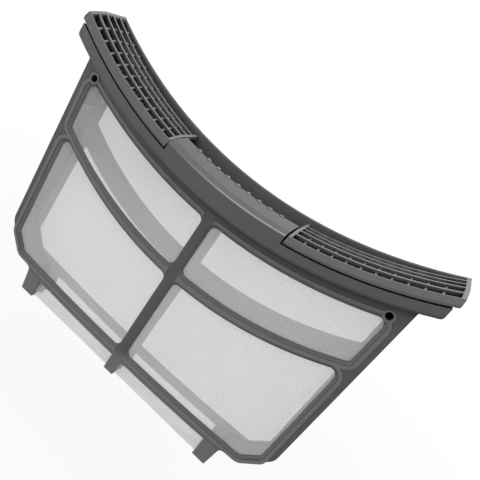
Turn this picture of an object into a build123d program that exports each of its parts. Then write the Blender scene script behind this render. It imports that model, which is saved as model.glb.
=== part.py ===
# Tumble dryer lint filter: a mesh pocket of two half trays, hinged at the foot and closed at the
# top by a curved flange with a grip strip and two slotted grilles.
# Frame: +X to the right seen from the front, +Y from front to back, +Z up.
# Y = 0 is the parting plane of the two halves and Z = 0 is the underside of the feet.
import math
import os

from build123d import *

# Curved top: flange, grip strip and grilles turn about one axis along Y, above the seam.
cover_width = 335.0
seam_height = 178.5
seam_radius = 347.5
flange_height = 7.9
flange_reach = 28.0
flange_wall = 2.4
flange_end_inset = 3.0
flange_corner_round = 3.5
end_bevel = 1.0
turn_margin = 4.0

# Section of the grilles: a lip, a chamfer and a top that rises to the back, each slope flatter.
cover_wall = 2.4
cover_lip_height = 3.2
cover_chamfer_depth = 2.6
cover_chamfer_height = 3.9
cover_edge_round = 1.2
cover_slope_run = 8.2
cover_front_slope = 17.0
cover_mid_slope = 13.2
cover_back_slope = 6.1

# Grip strip on the front half.
grip_width = 109.0
grip_depth = 22.8
grip_gap = 1.3
grip_edge_height = 7.0
grip_edge_bevel = 1.0
grip_shoulder_depth = 6.0
grip_shoulder_rise = 2.6
grip_top_slope = 10.4
grip_lip_height = 6.0
grip_rib_count = 9
grip_rib_pitch = 10.0
grip_rib_radius = 1.9
grip_rib_reach = 1.6
grip_rib_rise = 0.3

# Back wall on the rear half: its upper edge is a flatter arc than the grilles.
back_wall_reach = 14.5
back_wall_thickness = 2.8
back_wall_overlap = 5.0
back_edge_rise = 18.7
back_edge_flattening = 22.5
back_edge_bevel = 0.9

# Grille slots.
seam_gap = 1.4
slot_columns = 11
slot_rows = 5
slot_front_border = 0.9
slot_inner_border = 2.4
slot_outer_border = 3.0
web_width = 1.5
bar_width = 1.6
bar_depth = 3.2
web_drop = 1.6

# Panels: both are plane, and lean outwards from the foot.
panel_lean = 1.77
foot_half_depth = 12.8
panel_thickness = 2.4
rim_wall = 2.0
parting_gap = 0.4
panel_corner_half_width = 147.3
panel_corner_height = 46.0
panel_side_taper = 1.96
corner_run = 20.8
corner_rise = 22.2
corner_round = 13.0
notch_height = 20.4
notch_round = 3.5
notch_flare = 2.5
panel_top_sink = 1.0

# Windows and rails of each panel. Each rail has its own arc, and a low bead runs round the windows.
rib_width = 9.4
side_rail = 9.1
window_round = 5.0
rear_window_round = 1.5
window_chamfer = 12.8
rail_bevel_width = 2.4
rail_bevel_depth = 1.9
bead_inset = 2.8
bead_width = 2.9
bead_height = 0.5
upper_window_drop = 20.4
upper_window_flattening = 17.5
mid_rail_drop = 66.9
mid_rail_width = 9.6
mid_rail_top_tightening = 40.8
mid_rail_bottom_tightening = 47.5
rear_mid_rail_rise = 5.1
rear_mid_rail_width = 17.9
rear_mid_rail_top_tightening = 48.1
rear_mid_rail_bottom_tightening = 15.5
low_rail_height = 23.7
low_rail_width = 8.9
low_rail_radius = 1765.0

# Feet and hinge.
tab_width = 12.3
tab_outer = 108.5
tab_round = 1.8
foot_sole = 3.0
barrel_radius = 3.2
pin_radius = 1.6
pin_clearance = 0.06
knuckle_gap = 0.4
pin_end_setback = 0.5

# Closure: pegs of the rear half enter sockets of the front half at the top corners.
closure_spacing = 280.0
closure_drop = 18.65
socket_radius = 2.8
socket_wall = 1.9
socket_rim = 0.6
peg_clearance = 0.25
peg_length = 9.0
peg_tip_taper = 0.4

# Mesh sheets.
mesh_thickness = 0.4
mesh_clearance = 0.3
mesh_top_margin = 4.0
fold_height = 0.3

# Values worked out from the driving dimensions.
half_cover = cover_width / 2
half_gap = parting_gap / 2
half_rib = rib_width / 2
tab_inner = tab_outer - tab_width
tab_middle = tab_outer - tab_width / 2
top_axis_height = seam_height + seam_radius
panel_top_radius = seam_radius + panel_top_sink
mesh_top_radius = panel_top_radius + mesh_top_margin
back_edge_height = seam_height + back_edge_rise
back_edge_radius = seam_radius + back_edge_flattening
closure_seam = top_axis_height - math.sqrt(seam_radius**2 - (closure_spacing / 2) ** 2)
closure_height = closure_seam - closure_drop
lean_slope = math.tan(math.radians(panel_lean))
side_slope = math.tan(math.radians(panel_side_taper))
far = 2 * cover_width
top_axis = Axis((0, 0, top_axis_height), (0, 1, 0))
panel_plane = Plane(
    origin=(0, -foot_half_depth, 0),
    x_dir=(1, 0, 0),
    z_dir=(0, -math.cos(math.radians(panel_lean)), -math.sin(math.radians(panel_lean))),
)
hinge_height = barrel_radius
rim_foot = 2 * barrel_radius + mesh_clearance
hinge_stations = ((-tab_middle, tab_width), (0.0, rib_width), (tab_middle, tab_width))
boss_radius = socket_radius + socket_wall
front_face = -flange_reach
chamfer_low = (front_face, seam_radius - cover_lip_height)
chamfer_top = (front_face + cover_chamfer_depth, chamfer_low[1] - cover_chamfer_height)
grip_back = front_face + grip_depth
grip_edge = (front_face, seam_radius - grip_edge_height)
grip_shoulder = (front_face + grip_shoulder_depth, grip_edge[1] - grip_shoulder_rise)

# Arcs of the rails, each given as its lowest height and its radius.
mid_rail_lowest = seam_height - mid_rail_drop
rear_mid_rail_lowest = mid_rail_lowest + rear_mid_rail_rise
upper_window_top = (seam_height - upper_window_drop, seam_radius + upper_window_flattening)
mid_rail_top = (mid_rail_lowest, seam_radius - mid_rail_top_tightening)
mid_rail_bottom = (mid_rail_lowest - mid_rail_width, seam_radius - mid_rail_bottom_tightening)
rear_mid_rail_top = (rear_mid_rail_lowest, seam_radius - rear_mid_rail_top_tightening)
rear_mid_rail_bottom = (
    rear_mid_rail_lowest - rear_mid_rail_width,
    seam_radius - rear_mid_rail_bottom_tightening,
)
low_rail_top = (low_rail_height, low_rail_radius)
low_rail_bottom = (low_rail_height - low_rail_width, low_rail_radius)


def block(x0, x1, y0, y1, z0, z1):
    """Box between two corners."""
    size = Box(x1 - x0, y1 - y0, z1 - z0)
    return Pos((x0 + x1) / 2, (y0 + y1) / 2, (z0 + z1) / 2) * size


def rod(radius, y0, y1, x, z):
    """Cylinder along Y."""
    return Pos(x, (y0 + y1) / 2, z) * Rot(90, 0, 0) * Cylinder(radius, y1 - y0)


def side_x(height):
    """Half width of the panel at a height."""
    return panel_corner_half_width + side_slope * (height - panel_corner_height)


def arc_height(x, arc):
    """Height of a rail arc, given as its lowest height and its radius."""
    lowest, radius = arc
    return lowest + radius - math.sqrt(radius**2 - x**2)


def rail_arc(x0, x1, arc):
    """Arc of a rail between two places along X."""
    points = [(x, arc_height(x, arc)) for x in (x0, (x0 + x1) / 2, x1)]
    return ThreePointArc(*points)


def revolve_top(section):
    """Turns a section in Y and radius about the top axis, as far as the cover's ends."""
    points = [(y, top_axis_height - radius) for y, radius in section]
    return turn_face(make_face(Polyline(*points, close=True)))


def turn(face, axis, radius):
    """Turns a face drawn in Y and Z about an axis along Y, well past both ends of the cover."""
    reach = math.degrees(math.asin(half_cover / radius)) + turn_margin
    start = (Plane.YZ * face).rotate(axis, -reach)
    return revolve(start, axis, 2 * reach)


def turn_face(face):
    """Turns a face drawn in Y and Z about the top axis."""
    return turn(face, top_axis, cover_line(back_wall_reach)[-1][1])


def panel_outline(top_radius):
    """Outline of a panel, drawn flat: tabs at the foot, cut corners, tapered sides, curved top."""
    top_x = side_x(top_axis_height - math.sqrt(top_radius**2 - panel_corner_half_width**2))
    top_z = top_axis_height - math.sqrt(top_radius**2 - top_x**2)
    right = [
        (tab_outer, 0),
        (tab_outer + notch_flare, notch_height),
        (panel_corner_half_width - corner_run, panel_corner_height - corner_rise),
        (panel_corner_half_width, panel_corner_height),
        (top_x, top_z),
    ]
    left = [(-x, z) for x, z in reversed(right)]
    radii = [corner_round, corner_round, notch_round, tab_round]
    lower = FilletPolyline(*left, *right, radius=radii + radii[::-1])
    crown = ThreePointArc(right[-1], (0, top_axis_height - top_radius), left[0])
    return make_face([*lower.edges(), crown])


def upper_window(sill, corner):
    """Right upper window over a mid rail's top arc, drawn flat, with rounded corners."""
    low_x = side_x(sill[0]) - side_rail
    high_x = side_x(upper_window_top[0]) - side_rail
    low = rail_arc(half_rib, low_x, sill)
    high = rail_arc(high_x, half_rib, upper_window_top)
    face = make_face([low, Line(low @ 1, high @ 0), high, Line(high @ 1, low @ 0)])
    return fillet(face.vertices(), corner)


def lower_window(head, corner):
    """Right lower window under a mid rail's bottom arc, drawn flat, with its outer corner cut off."""
    high_x = side_x(head[0]) - side_rail
    low_x = side_x(low_rail_top[0]) - side_rail
    low = rail_arc(half_rib, low_x - window_chamfer, low_rail_top)
    high = rail_arc(high_x, half_rib, head)
    cut_end = (low_x, (low @ 1).Y + window_chamfer)
    edges = [low, Line(low @ 1, cut_end), Line(cut_end, high @ 0), high, Line(high @ 1, low @ 0)]
    face = make_face(edges)
    return fillet(face.vertices(), corner)


def foot_bay():
    """Right open bay under the low rail, between the centre rib and the tab, drawn flat."""
    high = rail_arc(tab_inner, half_rib, low_rail_bottom)
    low_right = (tab_inner, -notch_height)
    low_left = (half_rib, -notch_height)
    return make_face([high, Line(high @ 1, low_left), Line(low_left, low_right), Line(low_right, high @ 0)])


def both_sides(shape):
    """A shape drawn flat and its mirror image across the centre line."""
    return [shape, mirror(shape, Plane.YZ)]


def window_bevel(face):
    """Cutter that slopes a rail's edge down to a window: wide at the panel's face."""
    mouth = offset(face, rail_bevel_width)
    return loft([Pos(0, 0, -rail_bevel_depth) * face, mouth])


def window_beads(windows):
    """Low bead round the windows on one side, drawn flat and left off the centre rib."""
    rib = Rectangle(rib_width, far)
    outer = Sketch() + [offset(w, bead_inset + bead_width) for w in windows]
    inner = [offset(w, bead_inset) for w in windows]
    return extrude(outer - inner - rib, bead_height)


def half_tray(rail_top, rail_bottom, corner):
    """Half tray in front: panel with its windows round a mid rail, and the rim that meets the other half."""
    outline = panel_outline(panel_top_radius)
    inside = offset(panel_outline(chamfer_top[1] - cover_chamfer_height), -rim_wall)
    right_windows = [upper_window(rail_top, corner), lower_window(rail_bottom, corner)]
    beads = both_sides(window_beads(right_windows))
    windows = [face for w in right_windows for face in both_sides(w)]
    plate = Pos(0, 0, -panel_thickness) * extrude(outline, panel_thickness)
    openings = [Pos(0, 0, -panel_thickness) * extrude(w, panel_thickness) for w in windows]
    bays = [Pos(0, 0, -panel_thickness) * extrude(b, panel_thickness) for b in both_sides(foot_bay())]
    plate = plate - openings - bays - [window_bevel(w) for w in windows]
    rim_depth = 2 * foot_half_depth
    rim = Pos(0, 0, -rim_depth) * extrude(outline - inside, rim_depth)
    cavity = Pos(0, 0, -panel_thickness - rim_depth) * extrude(inside, rim_depth)
    below_rim = block(-far, far, -far, far, -far, rim_foot)
    rim = panel_plane * rim - below_rim
    tray = panel_plane * plate + rim + [panel_plane * b for b in beads]
    return tray & front_space(), panel_plane * cavity


def front_space():
    """All space in front of the parting plane and above the feet."""
    return block(-far, far, -far, -half_gap, 0, far)


def between_ends(solid, x0, x1):
    """The part of a solid between two places along X."""
    return solid & block(x0, x1, -far, far, 0, far)


def axle(radius, x0, x1):
    """Cylinder along the hinge axis."""
    return Pos((x0 + x1) / 2, 0, hinge_height) * Rot(0, 90, 0) * Cylinder(radius, x1 - x0)


def knuckle(station, width, x0, x1):
    """Foot of the front half under one rib: flat sole, sloped bar, then a narrower arm with its barrel."""
    front = -foot_half_depth
    bar_end = -barrel_radius - knuckle_gap
    top = 2 * barrel_radius
    section = [(front, 0), (front + foot_sole, 0), (bar_end, hinge_height), (bar_end, top), (front, top)]
    bar = extrude(Plane.YZ * make_face(Polyline(*section, close=True)), width, dir=(1, 0, 0))
    bar = Pos(station - width / 2, 0, 0) * bar
    arm = block(x0, x1, bar_end, 0, hinge_height, top)
    return bar + arm + axle(barrel_radius, x0, x1)


def front_knuckles():
    """Bored knuckles on the left of each hinge station."""
    pieces = []
    for x, width in hinge_stations:
        start, end = x - width / 2, x - knuckle_gap / 2
        bore = axle(pin_radius + pin_clearance, start, end)
        pieces.append(knuckle(x, width, start, end) - bore)
    return pieces


def rear_knuckles():
    """Solid knuckles on the right of each hinge station, with a pin moulded on."""
    pieces = []
    for x, width in hinge_stations:
        start, end = x + knuckle_gap / 2, x + width / 2
        pin_end = x - width / 2 + pin_end_setback
        pieces.append(mirror(knuckle(x, width, start, end), Plane.XZ))
        pieces.append(axle(pin_radius, pin_end, (start + end) / 2))
    return pieces


def flange():
    """Curved lip in front of the panel, with the shelf that joins it to the tray."""
    low = seam_radius + flange_height
    shelf = seam_radius + flange_wall
    inner = -flange_reach + flange_wall
    section = [
        (-flange_reach, low),
        (-flange_reach, seam_radius),
        (-half_gap, seam_radius),
        (-half_gap, shelf),
        (inner, shelf),
        (inner, low),
    ]
    end = half_cover - flange_end_inset
    lip = between_ends(revolve_top(section), -end, end)
    corners = lip.edges().filter_by(Axis.Y).sort_by(Axis.Z)[:2]
    return fillet(corners, flange_corner_round)


def slope_on(place, run, slope):
    """The place in Y and radius that a slope reaches after a run along Y."""
    return place[0] + run, place[1] - run * math.tan(math.radians(slope))


def cover_line(back):
    """Upper line of a grille in Y and radius, from the chamfer to a place along Y."""
    front = slope_on(chamfer_top, cover_slope_run, cover_front_slope)
    middle = slope_on(front, cover_slope_run, cover_mid_slope)
    return [chamfer_top, front, middle, slope_on(middle, back - middle[0], cover_back_slope)]


def section_face(line, base):
    """Filled section under a line in Y and radius, drawn in Y and Z."""
    corners = [(line[0][0], base), *line, (line[-1][0], base)]
    points = [(y, top_axis_height - radius) for y, radius in corners]
    return make_face(Polyline(*points, close=True))


def corner_of(face, place):
    """The corner of a section at a place in Y and radius."""
    return face.vertices().sort_by_distance((place[0], top_axis_height - place[1], 0))[0]


def grille_face(base, back):
    """Filled section of a grille: lip, chamfer and rising top."""
    face = section_face([chamfer_low, *cover_line(back)], base)
    return fillet(corner_of(face, chamfer_top), cover_edge_round)


def grip_radius(y):
    """Radius of the grip's top behind its shoulder, at a place along Y."""
    return slope_on(grip_shoulder, y - grip_shoulder[0], grip_top_slope)[1]


def grip_face(base, back):
    """Filled section of the grip: upright front, bevelled edge, shoulder and sloped top."""
    face = section_face([grip_edge, grip_shoulder, (back, grip_radius(back))], base)
    return chamfer(corner_of(face, grip_edge), grip_edge_bevel)


def cover_skin(section, base, back, wall):
    """Wall that follows a section, open below and at the back."""
    return turn_face(section(base, back) - offset(section(base + far, back + far), -wall))


def lip_band(back, rise):
    """Turned-down band at the grip's rear edge, with its top raised over the grip's top."""
    front = grip_back - cover_wall
    low = grip_radius(front) + grip_lip_height
    crest = [(y, grip_radius(y) - rise) for y in (back, front)]
    return revolve_top([(front, low), (back, low), *crest])


def grip_lip():
    """Rear lip of the grip, with upright half-round ribs for the fingers."""
    rib_back = grip_back + grip_rib_reach
    lip = between_ends(lip_band(grip_back, 0), -grip_width / 2, grip_width / 2)
    band = lip_band(rib_back, grip_rib_rise)
    first = -grip_rib_pitch * (grip_rib_count - 1) / 2
    post = Cylinder(grip_rib_radius, far, align=(Align.CENTER, Align.CENTER, Align.MIN))
    places = [first + i * grip_rib_pitch for i in range(grip_rib_count)]
    return [lip] + [band & (Pos(x, rib_back - grip_rib_radius, 0) * post) for x in places]


def grip_strip():
    """Grip on the front half: the flange carried up and back over the finger gap."""
    half = grip_width / 2
    skin = between_ends(cover_skin(grip_face, seam_radius + flange_wall, grip_back, cover_wall), -half, half)
    fill = turn_face(grip_face(seam_radius + flange_wall / 2, grip_back))
    ends = [between_ends(fill, half - cover_wall, half), between_ends(fill, -half, -half + cover_wall)]
    return [skin, *ends, *grip_lip()]


def sockets():
    """Socket bosses at the top corners of the front half, with a raised rim on the panel."""
    face = -foot_half_depth - lean_slope * closure_height
    bosses = []
    bores = []
    for x in (-closure_spacing / 2, closure_spacing / 2):
        bosses.append(rod(boss_radius, face - socket_rim, -half_gap, x, closure_height))
        bores.append(rod(socket_radius, face - flange_reach, 0, x, closure_height))
    return bosses, bores


def pegs():
    """Posts of the rear half, each with a tapered peg for a socket."""
    face = foot_half_depth + lean_slope * closure_height - panel_thickness / 2
    base = socket_radius - peg_clearance
    pieces = []
    for x in (-closure_spacing / 2, closure_spacing / 2):
        pieces.append(rod(boss_radius, half_gap, face, x, closure_height))
        peg = Cone(base, base - peg_tip_taper, peg_length + half_gap)
        pieces.append(Pos(x, half_gap - (peg_length + half_gap) / 2, closure_height) * Rot(90, 0, 0) * peg)
    return pieces


def back_wall():
    """Upright wall behind the grilles, with its own flatter, bevelled upper edge."""
    low_radius = seam_radius + back_wall_overlap
    low = top_axis_height - low_radius - flange_height
    back = back_wall_reach + back_wall_thickness
    high = back_edge_height
    corners = [(back_wall_reach, low), (back, low), (back, high), (back_wall_reach, high)]
    section = make_face(Polyline(*corners, close=True))
    section = chamfer(section.vertices().sort_by(Axis.Y)[-2:], back_edge_bevel)
    edge_axis = Axis((0, 0, back_edge_height + back_edge_radius), (0, 1, 0))
    wall = turn(section, edge_axis, back_edge_radius) & rod(low_radius, 0, far, 0, top_axis_height)
    return between_ends(wall, -half_cover, half_cover)


def rear_shelf():
    """Shelf of the rear half, level with the flange's shelf."""
    back = back_wall_reach + back_wall_thickness
    shelf = seam_radius + flange_wall
    section = [(half_gap, seam_radius), (back, seam_radius), (back, shelf), (half_gap, shelf)]
    return between_ends(revolve_top(section), -half_cover, half_cover)


def front_frame():
    """Front half: tray, flange, grip, sockets and bored knuckles."""
    tray, cavity = half_tray(mid_rail_top, mid_rail_bottom, window_round)
    bosses, bores = sockets()
    return tray + (flange() - cavity) + grip_strip() + bosses + front_knuckles() - bores


def rear_frame():
    """Rear half: tray, back wall, shelf, pegs and knuckles with pins."""
    tray, cavity = half_tray(rear_mid_rail_top, rear_mid_rail_bottom, rear_window_round)
    tray, cavity = mirror(tray, Plane.XZ), mirror(cavity, Plane.XZ)
    return tray + back_wall() + (rear_shelf() - cavity) + pegs() + rear_knuckles()


def slot_places():
    """Inner ends of the slots along X and front ends along Y, with the size of one slot."""
    x0 = grip_width / 2 + grip_gap + slot_inner_border
    x1 = half_cover - slot_outer_border
    y0 = chamfer_top[0] + slot_front_border
    length = (x1 - x0 - (slot_columns - 1) * web_width) / slot_columns
    depth = (back_wall_reach - y0 - (slot_rows - 1) * bar_width) / slot_rows
    columns = [x0 + i * (length + web_width) for i in range(slot_columns)]
    rows = [y0 + j * (depth + bar_width) for j in range(slot_rows)]
    return columns, rows, length, depth


def bevelled_end(solid):
    """The grille with the upper edges of its outer end bevelled."""
    end = solid.faces().sort_by(Axis.X)[-1]
    box = end.bounding_box()
    places = [(e, e.center()) for e in end.outer_wire().edges()]
    edges = [e for e, c in places if c.Z > box.min.Z + end_bevel and c.Y < box.max.Y - end_bevel]
    return chamfer(edges, end_bevel)


def grille():
    """Right grille: curved skin with bars, sunk webs and slots open to the back wall, and end walls."""
    columns, rows, length, depth = slot_places()
    x0 = grip_width / 2 + grip_gap
    x1 = columns[-1] + length
    base = seam_radius - seam_gap
    skin = between_ends(cover_skin(grille_face, base, back_wall_reach, cover_wall), x0, half_cover)
    fill = turn_face(grille_face(base, back_wall_reach))
    ends = [between_ends(fill, x0, x0 + cover_wall), between_ends(fill, half_cover - cover_wall, half_cover)]
    lattice = cover_skin(grille_face, base, back_wall_reach, bar_depth)
    lattice &= block(columns[0], x1, rows[0], back_wall_reach, 0, far)
    crust = cover_skin(grille_face, base, back_wall_reach, web_drop)
    grooves = [crust & block(columns[0], x1, y, y + depth, 0, far) for y in rows]
    slots = [block(x, x + length, y, y + depth, 0, far) for x in columns for y in rows]
    return bevelled_end(skin + ends) + lattice - grooves - slots


def mesh_sheet():
    """Front mesh: one sheet behind the panel, folded under the foot to the hinge line."""
    inset = rim_wall + mesh_clearance
    face = offset(panel_outline(mesh_top_radius), -inset)
    bay_width = tab_inner - half_rib - 2 * mesh_clearance
    bay_middle = (tab_inner + half_rib) / 2
    bay = Rectangle(bay_width, notch_height, align=(Align.CENTER, Align.MIN))
    bays = [Pos(side * bay_middle, fold_height) * bay for side in (-1, 1)]
    level = -panel_thickness - mesh_thickness
    sheet = panel_plane * (Pos(0, 0, level) * extrude(face + bays, mesh_thickness))
    for x, width in hinge_stations:
        reach = width / 2 + mesh_clearance
        sheet -= block(x - reach, x + reach, -far, 0, -far, rim_foot)
    inner_y = -foot_half_depth + panel_thickness - lean_slope * fold_height
    fold = [
        (inner_y, fold_height),
        (-half_gap, hinge_height),
        (-half_gap, hinge_height + mesh_thickness),
        (inner_y, fold_height + mesh_thickness),
    ]
    flap = extrude(Plane.YZ * make_face(Polyline(*fold, close=True)), bay_width, dir=(1, 0, 0))
    flaps = [Pos(side * bay_middle - bay_width / 2, 0, 0) * flap for side in (-1, 1)]
    post_x = closure_spacing / 2
    post = boss_radius + mesh_clearance
    holes = [rod(post, -far, 0, x, closure_height) for x in (-post_x, post_x)]
    return sheet + flaps - holes


def main():
    os.makedirs("parts", exist_ok=True)
    right_grille = grille()
    front_mesh = mesh_sheet()
    nodes = {
        "front_frame": front_frame(),
        "rear_frame": rear_frame(),
        "right_grille": right_grille,
        "left_grille": mirror(right_grille, Plane.YZ),
        "front_mesh": front_mesh,
        "rear_mesh": mirror(front_mesh, Plane.XZ),
    }
    for name, shape in nodes.items():
        export_step(shape, f"parts/{name}.step")


main()
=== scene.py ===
import math
from types import SimpleNamespace

import bmesh
import bpy
from mathutils import Matrix, Vector
from mathutils.bvhtree import BVHTree


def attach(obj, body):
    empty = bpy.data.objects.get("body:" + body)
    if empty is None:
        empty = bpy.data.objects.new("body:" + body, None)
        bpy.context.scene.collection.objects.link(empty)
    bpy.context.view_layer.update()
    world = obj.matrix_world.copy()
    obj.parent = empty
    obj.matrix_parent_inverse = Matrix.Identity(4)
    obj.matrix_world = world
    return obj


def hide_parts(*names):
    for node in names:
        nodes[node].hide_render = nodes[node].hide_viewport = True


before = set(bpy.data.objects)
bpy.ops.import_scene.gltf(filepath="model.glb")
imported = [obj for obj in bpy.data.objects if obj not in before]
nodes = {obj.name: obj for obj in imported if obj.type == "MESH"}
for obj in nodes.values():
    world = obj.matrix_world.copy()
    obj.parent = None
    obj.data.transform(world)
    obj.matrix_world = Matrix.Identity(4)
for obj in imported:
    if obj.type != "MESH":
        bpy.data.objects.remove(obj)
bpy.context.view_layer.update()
print("frame loaded, nodes:", ", ".join(sorted(nodes)))

# places on the part that the looks and the screens line up with, in metres
part = {
    "footDepth": 0.0128,  # parting plane to a panel's outer face, at the feet
    "lean": math.radians(1.77),  # of each panel
    "footHalf": 0.1447,  # just inside the side walls' outer faces, at the feet
    "taper": math.radians(1.96),  # of each side wall
    "axisHeight": 0.526,  # flange, grip and grilles curve about this axis
    "shelfRadius": 0.3500,
    "shelfHalf": 0.1635,
    "gripHalf": 0.0546,
}


# a socket that Python's operators turn into Math nodes, where a comparison gives a mask
class Wire:
    def __init__(self, look, socket):
        self.look = look
        self.socket = socket

    def math(self, operation, *others):
        inputs = dict(enumerate((self, *others)))
        return self.look.node("ShaderNodeMath", {"operation": operation}, inputs)

    def out(self, name):
        return Wire(self.look, self.socket.node.outputs[name])

    def clamped(self, low=0.0, high=1.0):
        return self.math("MINIMUM", high).math("MAXIMUM", low)

    def __add__(self, other):
        return self.math("ADD", other)

    def __sub__(self, other):
        return self.math("SUBTRACT", other)

    def __rsub__(self, other):
        return self.look.node("ShaderNodeMath", {"operation": "SUBTRACT"}, {0: other, 1: self})

    def __mul__(self, other):
        return self.math("MULTIPLY", other)

    def __truediv__(self, other):
        return self.math("DIVIDE", other)

    def __abs__(self):
        return self.math("ABSOLUTE")

    def __gt__(self, limit):
        return self.math("GREATER_THAN", limit)

    def __lt__(self, limit):
        return self.math("LESS_THAN", limit)

    def __or__(self, other):  # the larger of two masks
        return self.math("MAXIMUM", other)

    __radd__ = __add__
    __rmul__ = __mul__


class Look:
    def __init__(self, owner):
        owner.use_nodes = True
        self.owner = owner
        self.tree = owner.node_tree
        self.tree.nodes.clear()

    # settings come first, because they can change which sockets a node has
    def node(self, kind, settings=None, inputs=None, out=0):
        made = self.tree.nodes.new(kind)
        for key, value in (settings or {}).items():
            setattr(made, key, value)
        for key, value in (inputs or {}).items():
            if isinstance(value, Wire):
                self.tree.links.new(value.socket, made.inputs[key])
            else:
                made.inputs[key].default_value = value
        return Wire(self, made.outputs[out]) if made.outputs else None

    def mixColour(self, factor, first, second):
        settings = {"data_type": "RGBA", "blend_type": "MIX"}
        return self.node("ShaderNodeMix", settings, {0: factor, 6: first, 7: second}, 2)

    def noise(self, place, scale, detail, roughness=0.5):
        inputs = {"Vector": place, "Scale": scale, "Detail": detail, "Roughness": roughness}
        return self.node("ShaderNodeTexNoise", None, inputs)

    def measured(self, operation, *vectors):
        inputs = dict(enumerate(vectors))
        return self.node("ShaderNodeVectorMath", {"operation": operation}, inputs, "Value")


def rgba(grey, tint=(1, 1, 1)):
    return (*(grey * t for t in tint), 1)


# where on the part a shaded point is
def surveyed(look, place):
    x = look.node("ShaderNodeSeparateXYZ", None, {"Vector": place}, "X")
    y, z = x.out("Y"), x.out("Z")
    aside = abs(x)
    proud = abs(y) - part["footDepth"] - z * math.tan(part["lean"])  # of the panel's face
    side = z * math.tan(part["taper"]) + part["footHalf"] - aside  # depth below the side's face
    toAxis = look.node("ShaderNodeCombineXYZ", None, {"X": x, "Z": part["axisHeight"] - z})
    radius = look.measured("LENGTH", toAxis)
    return SimpleNamespace(
        x=x,
        y=y,
        z=z,
        aside=aside,
        proud=proud,
        side=side,
        radius=radius,
        within=side > 0.0,
        panel=radius > part["shelfRadius"],
    )


def highlightAndLintShare(finish, at, flow):
    # painted highlight: the beads that stand proud of the panel are lightened, in patches
    bead = ((at.proud - finish["beadFoot"]) / finish["beadRise"]).clamped()
    bead = bead * (at.proud < finish["beadTop"])
    bead = bead * (finish["beadLeast"] + flow * finish["beadPatches"])
    # painted highlight on a grille's bars, behind the chamfer
    bars = at.y > finish["topFront"]
    # painted highlight lightens the feet, and a film of lint lies on the walls inside the
    # pocket
    foot = ((finish["footTop"] - at.z) / finish["footFade"]).clamped()
    low = ((finish["lintTop"] - at.z) / finish["lintFade"]).clamped()
    film = at.within * (at.proud < -finish["lintDepth"]) * low
    # painted highlight on the side rails' bevels
    bevel = (abs(at.proud + finish["bevelDepth"]) < finish["bevelHalf"]) * at.within
    bevel = bevel * (at.side < finish["bevelReach"])
    lightened = bead * finish["beadHighlight"] + bars * finish["topHighlight"] + foot * finish["footHighlight"]
    return lightened + film * finish["lint"] + bevel * finish["bevelHighlight"]


# painted highlights on the grip's front edge, brightest on the right, on its top, and on the
# ribs' tips
def gripHighlights(finish, at):
    gripArea = ((finish["gripRadius"] - at.radius) / finish["gripFade"]).clamped()
    gripArea = gripArea * (at.aside < part["gripHalf"]) * (at.y < 0.0)
    right = ((at.x - finish["gripFrom"]) / finish["gripSpan"]).clamped(finish["gripLeast"])
    grip = gripArea * (at.y < finish["gripFront"]) * right | gripArea * finish["gripTopHighlight"]
    middle = 1.0 - abs(at.x - finish["tipsMiddle"]) / finish["tipsReach"]
    return grip, gripArea * (at.y > finish["gripTips"]) * middle


# painted shade: gaps, slots and the inside are darkened by ambient occlusion and by position
def paintedShadeShare(look, finish, at):
    reach = {"Distance": finish["gapReach"]}
    samples = {"samples": finish["gapSamples"]}
    openness = look.node("ShaderNodeAmbientOcclusion", samples, reach, "AO")
    gap = ((finish["gapLimit"] - openness) * finish["gapGain"]).clamped()
    railEdge = abs(at.proud + finish["railDepth"]) < finish["railHalf"]
    gap = gap * (1.0 - railEdge * at.panel)
    # painted shade on the space under the grilles, seen through their slots
    onShelf = (at.radius < part["shelfRadius"]) * (at.aside < part["shelfHalf"])
    inlet = (at.aside > part["gripHalf"]) * (at.radius > finish["inletRadius"])
    inlet = inlet * (at.within | onShelf) * (at.z > finish["inletFoot"])
    inlet = inlet * (at.y > finish["inletFront"]) * (at.y < finish["inletBack"])
    inlet = inlet * (abs(at.proud + finish["wallDepth"]) > finish["wallHalf"])
    # painted shade on the grille's inner end
    end = (at.aside < finish["endFace"]) * (at.y > finish["gripTips"])
    end = end * (at.radius > finish["endRadius"])
    # painted shadow on the rail under the flange and painted shade on the flange's lower edge,
    # less so at the left
    rail = ((finish["underRadius"] - at.radius) / finish["underFade"]).clamped()
    rail = rail * at.panel * (abs(at.proud) < finish["underFace"]) * (at.y < 0.0)
    lip = ((at.radius - finish["lipRadius"]) / finish["lipFade"]).clamped()
    lip = lip * (at.y < finish["inletFront"])
    right = ((at.x - finish["underFrom"]) / finish["underSpan"]).clamped(finish["underLeast"])
    under = (rail | lip) * right
    gap = gap | inlet * finish["inletShade"]
    return gap | end * finish["endShade"] | under * finish["underShade"]


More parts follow.
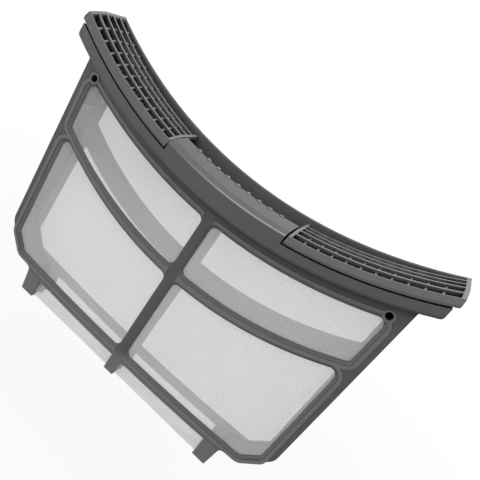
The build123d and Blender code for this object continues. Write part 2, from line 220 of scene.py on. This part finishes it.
def mouldedPlastic(name, finish):
    look = Look(bpy.data.materials.new(name))
    place = look.node("ShaderNodeTexCoord", None, None, "Object")
    at = surveyed(look, place)
    cloudy = look.noise(place, finish["cloudScale"], detail=3.0)
    grain = look.noise(place, finish["grainScale"], detail=1.0)
    # mould marks run a little along the rails, so one noise is stretched
    along = {"Vector": place, "Scale": finish["flowStretch"]}
    stretch = look.node("ShaderNodeMapping", None, along)
    flow = look.noise(stretch, finish["flowScale"], detail=4.0, roughness=0.6)
    # the bevelled normal softens moulded edges, and where it leaves the face there is an edge
    face = look.node("ShaderNodeNewGeometry", None, None, "Normal")
    bevel = {"Radius": finish["edgeRound"]}
    soft = look.node("ShaderNodeBevel", {"samples": finish["edgeSamples"]}, bevel)
    facing = look.measured("DOT_PRODUCT", face, soft)
    edge = ((1 - facing) * finish["edgeGain"]).math("MINIMUM", 1.0)
    grip, tipHighlight = gripHighlights(finish, at)

    dark, light, paler, gripLit, tipLit = (
        rgba(finish[key], finish["tint"])
        for key in ("dark", "light", "paler", "gripHighlightColour", "tipHighlightColour")
    )
    cloudShare, flowShare, grainShare = finish["shadeShares"]
    shade = cloudy * cloudShare + flow * flowShare + grain * grainShare
    shade = (shade - 0.5) * finish["shadeGain"] + 0.5
    colour = look.mixColour(shade.math("MAXIMUM", 0.0), dark, light)
    # painted highlights on beads, bars, feet and bevels, and the lint inside
    colour = look.mixColour(highlightAndLintShare(finish, at, flow), colour, paler)
    # lighter edges: wear, and partly a painted edge highlight
    colour = look.mixColour(edge * finish["edgeWearAndHighlight"], colour, paler)
    # painted highlights on the grip and the ribs' tips
    colour = look.mixColour(grip, colour, gripLit)
    colour = look.mixColour(tipHighlight, colour, tipLit)

    gloss = finish["roughness"] + (flow - 0.5) * finish["roughnessSpread"]
    gloss = gloss + (grain - 0.5) * finish["grainGloss"]
    gloss = gloss - edge * finish["edgePolish"] - grip * finish["gripPolish"]
    grained = {
        "Strength": finish["grainStrength"],
        "Distance": finish["grainDepth"],
        "Height": grain,
        "Normal": soft,
    }
    plastic = {
        "Base Color": colour,
        "Roughness": gloss,
        "Normal": look.node("ShaderNodeBump", None, grained),
        "IOR": finish["ior"],
    }
    # the painted shade's dark matt coat
    shadeCoat = {
        "Base Color": rgba(finish["shadeCoatColour"]),
        "Roughness": finish["gapRoughness"],
        "Specular IOR Level": 0.0,
    }
    # painted shade: a dark matt coat mixed in at gaps, slots, under the grilles and under the
    # flange
    both = {
        0: paintedShadeShare(look, finish, at),
        1: look.node("ShaderNodeBsdfPrincipled", None, plastic),
        2: look.node("ShaderNodeBsdfPrincipled", None, shadeCoat),
    }
    surface = look.node("ShaderNodeMixShader", None, both)
    look.node("ShaderNodeOutputMaterial", None, {"Surface": surface})
    return look.owner


framePlastic = {
    # colour and grain
    "dark": 0.041,
    "light": 0.063,
    "paler": 0.12,
    "tint": (0.985, 1.0, 0.99),
    "cloudScale": 55.0,
    "grainScale": 2600.0,
    "flowScale": 160.0,
    "flowStretch": (0.25, 1.0, 1.0),
    "shadeShares": (0.45, 0.35, 0.2),  # of cloud, flow and grain
    "shadeGain": 1.6,
    "roughness": 0.43,
    "roughnessSpread": 0.16,
    "grainGloss": 0.06,
    "grainStrength": 0.22,
    "grainDepth": 0.00006,
    "ior": 1.46,
    # rounded edges, worn and with a painted edge highlight
    "edgeRound": 0.0005,
    "edgeSamples": 6,
    "edgeGain": 3.0,
    "edgeWearAndHighlight": 0.55,
    "edgePolish": 0.18,
    # painted highlights on the beads, and on the bars of a grille
    "beadFoot": 0.0002,
    "beadRise": 0.0002,
    "beadTop": 0.0009,
    "beadLeast": 0.6,
    "beadPatches": 0.8,
    "beadHighlight": 0.8,
    "topFront": 1.0,
    "topHighlight": 0.0,
    # painted highlights on the feet and the side rails' bevels, and the film of lint inside
    "footTop": 0.024,
    "footFade": 0.008,
    "footHighlight": 0.7,
    "lintTop": 0.20,
    "lintFade": 0.05,
    "lintDepth": 0.0028,
    "lint": 0.9,
    "bevelDepth": 0.0010,
    "bevelHalf": 0.0009,
    "bevelReach": 0.0090,
    "bevelHighlight": 0.5,
    # painted highlights on the grip's front edge, its top and the ends of its finger ribs
    "gripRadius": 0.3413,
    "gripFade": 0.0003,
    "gripFront": -0.0271,
    "gripFrom": -0.055,
    "gripSpan": 0.06,
    "gripLeast": 0.25,
    "gripTopHighlight": 0.07,
    "gripHighlightColour": 0.24,
    "gripPolish": 0.15,
    "gripTips": -0.0046,
    "tipsMiddle": -0.01,
    "tipsReach": 0.06,
    "tipHighlightColour": 0.6,
    # painted shade in narrow gaps, but not on the rails' edges and the windows' bevels
    "gapReach": 0.010,
    "gapSamples": 6,
    "gapLimit": 0.64,
    "gapGain": 3.0,
    "shadeCoatColour": 0.004,
    "gapRoughness": 0.9,
    "railDepth": 0.0024,
    "railHalf": 0.0021,
    # painted shade in the space under the grilles, but not on the panels' walls
    "inletRadius": 0.3440,
    "inletFront": -0.0258,
    "inletBack": 0.0150,
    "inletFoot": 0.163,
    "inletShade": 0.85,
    "wallDepth": 0.0025,
    "wallHalf": 0.0040,
    # painted shade on a grille's inner end
    "endFace": 0.0,
    "endRadius": 0.3365,
    "endShade": 0.0,
    # painted shadow on the rail under the flange, and painted shade on the flange's lower edge
    # as if it turned under
    "underRadius": 0.3621,
    "underFade": 0.005,
    "underFace": 0.0006,
    "lipRadius": 0.3530,
    "lipFade": 0.0024,
    "underFrom": -0.14,
    "underSpan": 0.09,
    "underLeast": 0.15,
    "underShade": 0.5,
}
grillePlastic = dict(
    framePlastic,
    dark=0.054,
    light=0.070,
    paler=0.20,
    roughness=0.40,
    flowStretch=(1.0, 0.3, 1.0),
    edgeRound=0.0003,
    # edges: wear, and partly a painted edge highlight
    edgeWearAndHighlight=0.8,
    beadHighlight=0.0,
    # painted highlight on the bars
    topFront=-0.0250,  # behind the chamfer, where the bars are
    topHighlight=0.55,
    footHighlight=0.0,
    lint=0.0,
    bevelHighlight=0.0,
    gapReach=0.02,
    gapLimit=0.80,
    inletShade=0.0,
    # painted shade on the inner end
    endFace=0.0562,
    endShade=0.92,
    underShade=0.0,
)

for material, finish, names in (
    ("frame_plastic", framePlastic, ("front_frame", "rear_frame")),
    ("grille_plastic", grillePlastic, ("left_grille", "right_grille")),
):
    made = mouldedPlastic(material, finish)
    for name in names:
        nodes[name].data.materials.clear()
        nodes[name].data.materials.append(made)
print("moulded plastics on", len(nodes) - 2, "nodes")

# the woven screen, sizes in metres
screen = {
    "behindFace": 0.0026,  # middle of the cloth, behind the panel's outer face
    "cell": 0.004,
    "foldHeight": 0.0003,
    "foldMargin": 0.0002,
    "foldRadius": 0.0016,
    "foldStep": 0.0004,
    "hingeLine": (-0.0002, 0.0034),
    "slack": 0.00014,
    "slackStart": 0.0008,  # clear of the rail
    "slackSpan": 0.014,
    "slackWaves": ((61, 0, 0.7), (17, 83, 0), (149, -97, 0)),  # across, up and phase
    "slackRipple": 0.4,
    "pitch": 0.00078,
    "pitchShift": 4000.0,  # keeps the count of threads above zero
    "thread": 0.285,
    "rearBias": math.radians(38),  # the rear cloth is cut on the bias
    "threadDepth": 0.0001,
    "threadStrength": 0.5,
    "underRise": 0.55,  # of a thread where it passes under another
    "threadColour": 0.65,
    "threadDark": 0.61,
    "cloudScale": 45.0,
    "strandScale": 900.0,
    "cloudShare": 0.6,
    "upperLeftShade": 0.45,  # how far painted shade darkens the upper left
    "upperLeftShadeColour": 0.42,
    "greySpan": 0.08,
    "greyFoot": 0.09,
    "greyRise": 0.06,
    "roughness": 0.55,
    "roughnessSpread": 0.2,
    "ior": 1.5,
}


# panel coordinates: across, up along the panel, and out of it
def panelAxes():
    lean = part["lean"]
    up = Vector((0, -math.sin(lean), math.cos(lean)))
    out = Vector((0, -math.cos(lean), -math.sin(lean)))
    return Vector((0, -part["footDepth"], 0)), up, out


def flatCut():
    origin, up, out = panelAxes()
    cut = bmesh.new()
    cut.from_mesh(nodes["front_mesh"].data)
    bmesh.ops.remove_doubles(cut, verts=cut.verts, dist=1e-6)
    cut.normal_update()
    away = [f for f in cut.faces if f.normal.dot(out) < 0.999]
    bmesh.ops.delete(cut, geom=away, context="FACES")
    level = max((v.co - origin).dot(out) for v in cut.verts)
    inner = [f for f in cut.faces if (f.calc_center_median() - origin).dot(out) < level - 1e-4]
    bmesh.ops.delete(cut, geom=inner, context="FACES")
    bmesh.ops.dissolve_limit(cut, angle_limit=0.01, verts=cut.verts, edges=cut.edges)
    for v in cut.verts:
        place = v.co - origin
        v.co = Vector((place.x, place.dot(up), 0))
    return cut


# the cloth comes down the panel, rolls round the foot and runs up to the hinge line
def foldPath():
    origin, up, out = panelAxes()
    corner = origin + up * screen["foldHeight"] - out * screen["behindFace"]
    toHinge = Vector((0, *screen["hingeLine"])) - corner
    down, along = -up, toHinge.normalized()
    turn = down.angle(along)
    lead = screen["foldRadius"] * math.tan(turn / 2)
    arc = screen["foldRadius"] * turn
    start = screen["foldHeight"] + lead  # of the roll, up the panel
    return SimpleNamespace(
        corner=corner,
        down=down,
        along=along,
        lead=lead,
        arc=arc,
        start=start,
        end=start - arc,
        hem=start - arc - (toHinge.length - lead),
    )


# below is how far under the start of the roll a point of the flat cut lies
def foldedPlace(below, path):
    if below < path.arc:
        radius = screen["foldRadius"]
        angle = below / radius
        side = (path.along - path.down * path.along.dot(path.down)).normalized()
        start = path.corner - path.down * path.lead
        rolled = path.down * (radius * math.sin(angle))
        return start + rolled + side * (radius * (1 - math.cos(angle)))
    return path.corner + path.along * (path.lead + below - path.arc)


def sliced(cut, normal, places):
    normal = Vector(normal)
    for place in places:
        geometry = cut.verts[:] + cut.edges[:] + cut.faces[:]
        plane = {"plane_co": normal * place, "plane_no": normal}
        bmesh.ops.bisect_plane(cut, geom=geometry, dist=1e-6, **plane)


def steps(low, high, step):
    count = int((high - low) / step)
    return [low + (i + 1) * step for i in range(count)]


def slackWave(across, height):
    first, second, third = (
        math.sin(across * perAcross + height * perUp + phase)
        for perAcross, perUp, phase in screen["slackWaves"]
    )
    return first * second + screen["slackRipple"] * third


def stretchedScreen(name, side, body, rails, bias):
    path = foldPath()
    origin, up, out = panelAxes()
    cut = flatCut()
    for v in cut.verts:
        if v.co.y < screen["foldHeight"] + screen["foldMargin"]:
            v.co.y = path.hem
    wide = max(v.co.x for v in cut.verts)
    tall = max(v.co.y for v in cut.verts)
    hem = path.hem
    cell, fold = screen["cell"], screen["foldStep"]
    sliced(cut, (1, 0, 0), steps(-wide, wide, cell))
    sliced(cut, (0, 1, 0), steps(hem, path.end, cell))
    sliced(cut, (0, 1, 0), steps(path.end - fold, path.start, fold))
    sliced(cut, (0, 1, 0), steps(path.start, tall, cell))
    layer = cut.loops.layers.uv.new("flatCut")
    for f in cut.faces:
        f.smooth = True
        for loop in f.loops:
            loop[layer].uv = Matrix.Rotation(bias, 2) @ loop.vert.co.xy
    flatArea = sum(f.calc_area() for f in cut.faces)
    frameTree = BVHTree.FromObject(rails, bpy.context.evaluated_depsgraph_get())
    for v in cut.verts:
        across, height = v.co.x, v.co.y
        if height < path.start:
            place = foldedPlace(path.start - height, path)
            v.co = Vector((across, place.y, place.z))
        else:
            v.co = origin + Vector((across, 0, 0)) + up * height - out * screen["behindFace"]
        v.co.y *= side
        # held flat on the rails, a very little slack in the middle of a window
        clear = frameTree.find_nearest(v.co)[3] - screen["slackStart"]
        loose = min(1.0, max(0.0, clear / screen["slackSpan"]))
        eased = loose * loose * (3 - 2 * loose)
        v.co.y += side * screen["slack"] * slackWave(across, height) * eased
    if side < 0:
        bmesh.ops.reverse_faces(cut, faces=cut.faces)
    mesh = bpy.data.meshes.new(name)
    cut.to_mesh(mesh)
    cut.free()
    cloth = bpy.data.objects.new(name, mesh)
    bpy.context.scene.collection.objects.link(cloth)
    mesh.materials.append(weave)
    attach(cloth, body)
    return cloth


def wovenScreen(name):
    look = Look(bpy.data.materials.new(name))
    place = look.node("ShaderNodeUVMap", {"uv_map": "flatCut"})
    u = look.node("ShaderNodeSeparateXYZ", None, {"Vector": place}, "X")
    across = u / screen["pitch"] + screen["pitchShift"]
    upward = u.out("Y") / screen["pitch"] + screen["pitchShift"]
    # 0 in the middle of a thread, 1 in the middle of a hole
    warp = abs(across.math("FRACT") * 2.0 - 1.0)
    weft = abs(upward.math("FRACT") * 2.0 - 1.0)
    thread = screen["thread"]
    solid = (warp < thread) | (weft < thread)
    # threads change places at every crossing
    parity = ((across.math("FLOOR") + upward.math("FLOOR")) * 0.5).math("FRACT") * 2.0
    over = parity > 0.5
    low, high = screen["underRise"], 1.0 - screen["underRise"]
    warpRise = (1.0 - warp / thread).math("MAXIMUM", 0.0) * (low + high * over)
    weftRise = (1.0 - weft / thread).math("MAXIMUM", 0.0) * (1.0 - high * over)
    raised = {
        "Strength": screen["threadStrength"],
        "Distance": screen["threadDepth"],
        "Height": warpRise | weftRise,
    }
    cloud = look.noise(place, screen["cloudScale"], detail=3.0)
    strand = look.noise(place, screen["strandScale"], detail=1.0)
    shade = cloud * screen["cloudShare"] + strand * (1.0 - screen["cloudShare"])
    dark = screen["threadDark"]
    clean = look.mixColour(shade, rgba(dark), rgba(2 * screen["threadColour"] - dark))
    # painted shade darkens the upper left
    spot = look.node("ShaderNodeTexCoord", None, None, "Object")
    x = look.node("ShaderNodeSeparateXYZ", None, {"Vector": spot}, "X")
    left = (x / -screen["greySpan"]).clamped()
    upper = ((x.out("Z") - screen["greyFoot"]) / screen["greyRise"]).clamped()
    upperLeftShade = left * upper * (0.5 + cloud) * screen["upperLeftShade"]
    cloth = {
        "Base Color": look.mixColour(upperLeftShade, clean, rgba(screen["upperLeftShadeColour"])),
        "Roughness": screen["roughness"] + (strand - 0.5) * screen["roughnessSpread"],
        "Alpha": solid,
        "Normal": look.node("ShaderNodeBump", None, raised),
        "IOR": screen["ior"],
    }
    surface = look.node("ShaderNodeBsdfPrincipled", None, cloth)
    look.node("ShaderNodeOutputMaterial", None, {"Surface": surface})
    return look.owner


weave = wovenScreen("filter_mesh")
frontScreen = stretchedScreen("front_screen", 1, "front_half", nodes["front_frame"], 0.0)
rearScreen = stretchedScreen(
    "rear_screen", -1, "rear_half", nodes["rear_frame"], screen["rearBias"]
)
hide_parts("front_mesh")
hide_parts("rear_mesh")
print("screens:", len(frontScreen.data.polygons), "and", len(rearScreen.data.polygons), "faces")

# a ledge under each grille's outer end wall, so that no daylight shows through the end slots
endLedge = {
    "angles": (math.radians(27.95), math.radians(28.70)),
    "radii": (0.3459, 0.3469),
    "depths": (-0.0225, 0.0120),
}


def ledgeUnder(name, side, grille):
    made = bmesh.new()
    for depth in endLedge["depths"]:
        for radius in endLedge["radii"]:
            for angle in endLedge["angles"]:
                height = part["axisHeight"] - radius * math.cos(angle)
                made.verts.new((side * radius * math.sin(angle), depth, height))
    bmesh.ops.convex_hull(made, input=made.verts)
    mesh = bpy.data.meshes.new(name)
    made.to_mesh(mesh)
    made.free()
    mesh.materials.append(grille.data.materials[0])
    ledge = bpy.data.objects.new(name, mesh)
    bpy.context.scene.collection.objects.link(ledge)
    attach(ledge, "rear_half")


ledgeUnder("left_end_ledge", -1, nodes["left_grille"])
ledgeUnder("right_end_ledge", 1, nodes["right_grille"])
print("end ledges under the grilles")

studio = {
    "worldLight": 0.5,
    "floorColour": 0.8,
    "floorGlow": 0.82,
    "floorFade": (0.3, 1.1),  # from the part's foot, where the floor turns to plain white
    "floorReach": 30.0,
    "floorDrop": 0.2,  # the part is held up, and its front half swings below its feet
    "aim": (0, 0, 0.11),
    "lamps": {
        "key": {"place": (0.30, -0.50, 1.15), "size": 0.8, "power": 8.5},
        "fill": {"place": (-0.70, -0.90, 0.50), "size": 0.9, "power": 4.6},
        "back": {"place": (0.10, 0.60, 1.10), "size": 0.8, "power": 3.0},
    },
}


# the rays that see plain white: the camera's, also when mirrored or let through
def whiteRays(look):
    path = look.node("ShaderNodeLightPath", None, None, "Is Camera Ray")
    return path | path.out("Is Glossy Ray") | path.out("Is Transmission Ray")


def studioWorld():
    look = Look(bpy.data.worlds.new("studio"))
    seen = whiteRays(look)
    dim = {"Color": rgba(1.0), "Strength": studio["worldLight"]}
    lit = look.node("ShaderNodeBackground", None, dim)
    white = look.node("ShaderNodeBackground", None, {"Color": rgba(1.0), "Strength": 1.0})
    both = look.node("ShaderNodeMixShader", None, {0: seen, 1: lit, 2: white})
    look.node("ShaderNodeOutputWorld", None, {"Surface": both})
    return look.owner


def paleFloor():
    look = Look(bpy.data.materials.new("pale_floor"))
    seen = whiteRays(look)
    matt = look.node("ShaderNodeBsdfDiffuse", None, {"Color": rgba(studio["floorColour"])})
    glow = look.node("ShaderNodeEmission", None, {"Color": rgba(1.0), "Strength": 1.0})
    near, wide = studio["floorFade"]
    place = look.node("ShaderNodeNewGeometry", None, None, "Position")
    fade = ((look.measured("LENGTH", place) - near) / (wide - near)).clamped()
    share = studio["floorGlow"] + fade * (1.0 - studio["floorGlow"])
    both = look.node("ShaderNodeMixShader", None, {0: seen * share, 1: matt, 2: glow})
    look.node("ShaderNodeOutputMaterial", None, {"Surface": both})
    reach, level = studio["floorReach"], -studio["floorDrop"]
    turns = ((-1, -1), (1, -1), (1, 1), (-1, 1))
    mesh = bpy.data.meshes.new("floor")
    mesh.from_pydata([(i * reach, j * reach, level) for i, j in turns], [], [(0, 1, 2, 3)])
    mesh.materials.append(look.owner)
    floor = bpy.data.objects.new("floor", mesh)
    bpy.context.scene.collection.objects.link(floor)


def softLamp(name, lamp):
    light = bpy.data.lights.new(name, "AREA")
    light.size = lamp["size"]
    light.energy = lamp["power"]
    made = bpy.data.objects.new(name, light)
    made.location = lamp["place"]
    aim = Vector(studio["aim"]) - Vector(lamp["place"])
    made.rotation_euler = aim.to_track_quat("-Z", "Y").to_euler()
    bpy.context.scene.collection.objects.link(made)


bpy.context.scene.world = studioWorld()
paleFloor()
for name, lamp in studio["lamps"].items():
    softLamp(name, lamp)
print("studio lit by", len(studio["lamps"]), "lamps")

# the photograph's view: the camera is rolled, as the part was held
view = {
    "place": (0.11015, -0.36541, 0.27565),
    "right": (0.7505, 0.3563, 0.5566),
    "up": (-0.6236, 0.1028, 0.7749),
    "lens": 39.06,  # millimetres, as the sensor is
    "sensor": 36.0,
    "clipStart": 0.01,
}


def photoCamera():
    right = Vector(view["right"]).normalized()
    back = right.cross(Vector(view["up"])).normalized()
    up = back.cross(right)
    turned = Matrix((right, up, back)).transposed().to_4x4()
    lens = bpy.data.cameras.new("camera")
    lens.lens = view["lens"]
    lens.sensor_width = view["sensor"]
    lens.clip_start = view["clipStart"]
    camera = bpy.data.objects.new("camera", lens)
    camera.matrix_world = Matrix.Translation(view["place"]) @ turned
    bpy.context.scene.collection.objects.link(camera)
    bpy.context.scene.camera = camera


photoCamera()
bpy.context.scene.view_settings.view_transform = "Standard"
